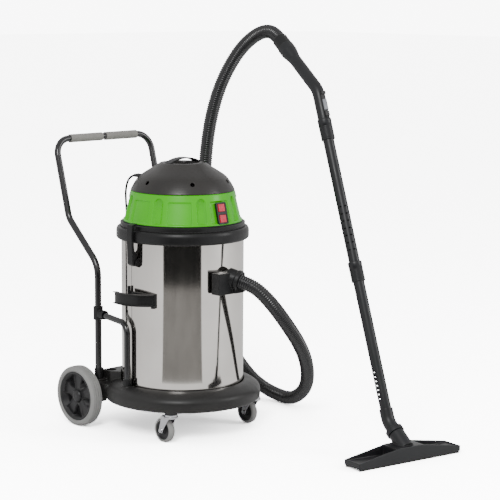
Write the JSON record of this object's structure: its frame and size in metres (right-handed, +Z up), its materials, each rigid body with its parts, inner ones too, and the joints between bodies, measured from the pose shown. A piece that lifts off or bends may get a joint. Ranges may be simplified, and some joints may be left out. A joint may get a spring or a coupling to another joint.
{
  "type": "wet and dry shop vacuum cleaner",
  "caption": "Upright wet and dry shop vacuum: polished drum on a wheeled trolley, lift-off motor head, push handle, hose, straight wand and wide floor tool.",
  "frame": {"origin": "middle of the object's footprint on the floor, without the hose and the mains lead", "axes": "+Z up, front casters and floor tool towards -Y, push handle and large wheels towards +Y, +X to the machine's right"},
  "size_m": [0.7592, 1.3555, 1.3196],
  "materials": {
    "deck_plastic": "satin moulded",
    "hub_plastic": "satin moulded",
    "grey_tyre": "soft matt",
    "zinc_steel": "bright zinc plate",
    "black_tube": "gloss powder coat",
    "grey_grip": "matt foam",
    "stainless": "mirror polished",
    "black_plastic": "satin moulded",
    "green_plastic": "gloss moulded",
    "dome_plastic": "satin moulded",
    "red_switch": "gloss moulded",
    "hose_rubber": "glossy ribbed",
    "wand_plastic": "satin moulded",
    "slider_grey": "satin moulded",
    "strip_rubber": "matt",
    "motor_metal": "cast and machined",
    "foam": "open cell foam",
    "gasket_rubber": "matt",
    "filter_fabric": "pleated felt",
    "float_plastic": "satin moulded",
    "cage_plastic": "satin moulded",
    "lead_rubber": "satin"
  },
  "bodies": {
    "trolley": {"trolley_deck": "deck_plastic", "rear_axle": "zinc_steel", "caster_stems": "zinc_steel", "push_handle": "black_tube", "handle_grip_left": "grey_grip", "handle_grip_right": "grey_grip", "brace_left": "black_tube", "brace_right": "black_tube", "brace_clamps": "black_plastic", "tube_sockets": "black_plastic", "tank": "stainless", "tank_collar": "black_plastic", "inlet_block": "black_plastic", "inlet_badge": "green_plastic", "inlet_deflector": "stainless", "inlet_cuff": "black_plastic", "accessory_holder": "black_plastic", "latch_brackets": "black_plastic", "hose": "hose_rubber", "wand_cuff": "black_plastic", "cord_coil": "lead_rubber", "power_plug": "lead_rubber"},
    "head": {"head_flange": "black_plastic", "head_gasket": "gasket_rubber", "shroud_ring": "green_plastic", "dome": "dome_plastic", "carry_strap": "black_plastic", "switch_bezel": "black_plastic", "motor_left": "motor_metal", "motor_right": "motor_metal", "foam_ring": "foam", "flange_screws": "zinc_steel", "float_cage": "cage_plastic", "filter_basket": "filter_fabric", "strain_relief": "lead_rubber", "power_cord": "lead_rubber"},
    "float": {"float": "float_plastic"},
    "rocker_upper": {"rocker_upper": "red_switch"},
    "rocker_lower": {"rocker_lower": "red_switch"},
    "latch_left": {"latch_lever_left": "black_plastic"},
    "latch_right": {"latch_lever_right": "black_plastic"},
    "wand": {"wand_handle": "wand_plastic", "wand_tube_upper": "wand_plastic", "wand_tube_lower": "wand_plastic", "wand_elbow": "wand_plastic"},
    "suction_slider": {"suction_slider": "slider_grey"},
    "floor_tool": {"floor_tool": "wand_plastic", "squeegee_strips": "strip_rubber"},
    "wheel_left": {"wheel_tyre_left": "grey_tyre", "wheel_hub_left": "hub_plastic"},
    "caster_left": {"caster_fork_left": "zinc_steel", "caster_pin_left": "zinc_steel"},
    "caster_wheel_left": {"caster_tyre_left": "grey_tyre", "caster_hub_left": "hub_plastic"},
    "wheel_right": {"wheel_tyre_right": "grey_tyre", "wheel_hub_right": "hub_plastic"},
    "caster_right": {"caster_fork_right": "zinc_steel", "caster_pin_right": "zinc_steel"},
    "caster_wheel_right": {"caster_tyre_right": "grey_tyre", "caster_hub_right": "hub_plastic"}
  },
  "joints": [
    {"name": "wheel_left_roll", "type": "hinge", "parent": "trolley", "child": "wheel_left", "pos_m": [-0.3242, 0.4492, 0.1], "axis": [1, 0, 0], "continuous": true},
    {"name": "caster_left_swivel", "type": "hinge", "parent": "trolley", "child": "caster_left", "pos_m": [-0.2612, 0.0622, 0.087], "axis": [0, 0, 1], "continuous": true},
    {"name": "caster_left_roll", "type": "hinge", "parent": "caster_left", "child": "caster_wheel_left", "pos_m": [-0.2612, 0.0922, 0.04], "axis": [1, 0, 0], "continuous": true},
    {"name": "latch_left_open", "type": "hinge", "parent": "trolley", "child": "latch_left", "pos_m": [-0.2892, 0.2122, 0.567], "axis": [0, -1, 0], "range_deg": [0, 75]},
    {"name": "wheel_right_roll", "type": "hinge", "parent": "trolley", "child": "wheel_right", "pos_m": [0.1678, 0.4492, 0.1], "axis": [1, 0, 0], "continuous": true},
    {"name": "caster_right_swivel", "type": "hinge", "parent": "trolley", "child": "caster_right", "pos_m": [0.1048, 0.0622, 0.087], "axis": [0, 0, 1], "continuous": true},
    {"name": "caster_right_roll", "type": "hinge", "parent": "caster_right", "child": "caster_wheel_right", "pos_m": [0.1048, 0.0922, 0.04], "axis": [1, 0, 0], "continuous": true},
    {"name": "latch_right_open", "type": "hinge", "parent": "trolley", "child": "latch_right", "pos_m": [0.1328, 0.2122, 0.567], "axis": [0, 1, 0], "range_deg": [0, 75]},
    {"name": "head_lift", "type": "slide", "parent": "trolley", "child": "head", "axis": [0, 0, 1], "range_m": [0, 0.18]},
    {"name": "float_rise", "type": "slide", "parent": "head", "child": "float", "axis": [0, 0, 1], "range_m": [0, 0.04]},
    {"name": "rocker_lower_press", "type": "hinge", "parent": "head", "child": "rocker_lower", "pos_m": [-0.0782, 0.01941, 0.71195], "axis": [0, -0.2379, -0.9713], "range_deg": [0, 16]},
    {"name": "rocker_upper_press", "type": "hinge", "parent": "head", "child": "rocker_upper", "pos_m": [-0.0782, 0.02774, 0.74595], "axis": [0, -0.2379, -0.9713], "range_deg": [0, 16]},
    {"name": "wand_swivel", "type": "hinge", "parent": "trolley", "child": "wand", "pos_m": [0.2417, 0.06417, 1.247], "axis": [0.1274, 0.7953, 0.5927], "range_deg": [-30, 30]},
    {"name": "suction_slide", "type": "slide", "parent": "wand", "child": "suction_slider", "axis": [0.0564, 0.3521, 0.9343], "range_m": [0, 0.016]},
    {"name": "tool_swivel", "type": "hinge", "parent": "wand", "child": "floor_tool", "pos_m": [0.14649, -0.53025, 0.076], "axis": [0.1266, 0.7902, 0.5997], "range_deg": [-90, 90]}
  ]
}
